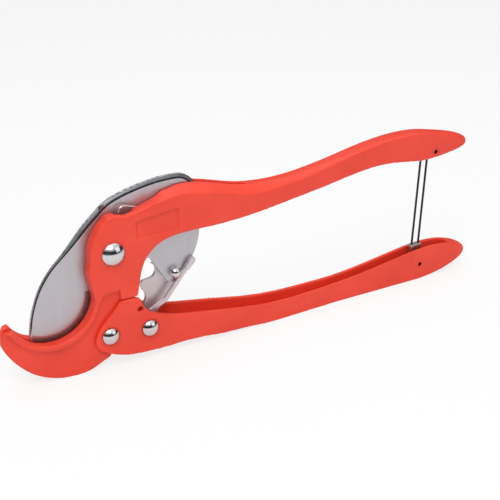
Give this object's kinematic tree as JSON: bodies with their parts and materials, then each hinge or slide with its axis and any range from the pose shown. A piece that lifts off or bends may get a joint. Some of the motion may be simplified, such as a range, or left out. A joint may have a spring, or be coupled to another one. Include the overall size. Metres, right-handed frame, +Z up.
{
  "type": "plastic pipe cutter",
  "caption": "Ratcheting shear for plastic pipe: hooked cradle jaw, swinging blade driven by a notched link, two channel handles and a wire bail that holds them shut.",
  "frame": {"origin": "centre of the bounding box in plan, on the ground that the jaw and the lower handle stand on", "axes": "+X from the jaw towards the handle ends, +Y through the tool's thickness away from the side in view, +Z up"},
  "size_m": [0.449, 0.0378, 0.1487],
  "materials": {
    "cast_paint": "satin orange-red powder coat",
    "blade_steel": "satin ground",
    "link_steel": "satin",
    "plated_head": "bright plated",
    "bearing_bronze": "turned",
    "washer_steel": "turned",
    "roller_steel": "ground",
    "spring_wire": "bright drawn",
    "black_wire": "black oxide",
    "pin_steel": "dark"
  },
  "bodies": {
    "frame": {"frame_casting": "cast_paint", "pivot_bolt": "plated_head", "pivot_nut": "plated_head", "pivot_sleeve": "bearing_bronze", "spacer_near": "washer_steel", "spacer_far": "washer_steel", "blade_return_spring": "spring_wire", "hinge_bush": "bearing_bronze", "hinge_washer_near": "washer_steel", "hinge_washer_far": "washer_steel", "bail_pin": "pin_steel"},
    "blade": {"blade": "blade_steel", "spring_stud": "washer_steel", "link_rivet": "plated_head"},
    "link": {"ratchet_link": "link_steel", "release_bar": "link_steel", "link_bridge": "link_steel", "link_washer": "washer_steel"},
    "lower_handle": {"lower_handle": "cast_paint", "hinge_bolt": "plated_head", "hinge_nut": "plated_head", "drive_pin": "plated_head", "drive_pin_nut": "plated_head", "catch_pin": "pin_steel"},
    "roller": {"drive_roller": "roller_steel"},
    "bail": {"bail_wire": "black_wire", "bail_hook": "black_wire"}
  },
  "joints": [
    {"name": "handle_pivot", "type": "hinge", "parent": "frame", "child": "lower_handle", "pos_m": [-0.1402, 0, 0.0293], "axis": [0, 1, 0], "range_deg": [0, 28]},
    {"name": "blade_pivot", "type": "hinge", "parent": "frame", "child": "blade", "pos_m": [-0.134, 0, 0.0985], "axis": [0, 1, 0], "range_deg": [0, 42]},
    {"name": "link_pivot", "type": "hinge", "parent": "blade", "child": "link", "pos_m": [-0.0785, 0, 0.066], "axis": [0, -1, 0], "range_deg": [0, 160]},
    {"name": "bail_pivot", "type": "hinge", "parent": "frame", "child": "bail", "pos_m": [0.1785, 0, 0.1233], "axis": [0, 1, 0], "range_deg": [0, 84]},
    {"name": "roller_spin", "type": "hinge", "parent": "lower_handle", "child": "roller", "pos_m": [-0.1064, 0, 0.0274], "axis": [0, 1, 0], "continuous": true}
  ],
  "couplings": [
    {"joint": "blade_pivot", "follows": "handle_pivot", "ratio": 1.5},
    {"joint": "link_pivot", "follows": "handle_pivot", "ratio": 5.7143},
    {"joint": "bail_pivot", "follows": "handle_pivot", "ratio": 3}
  ]
}
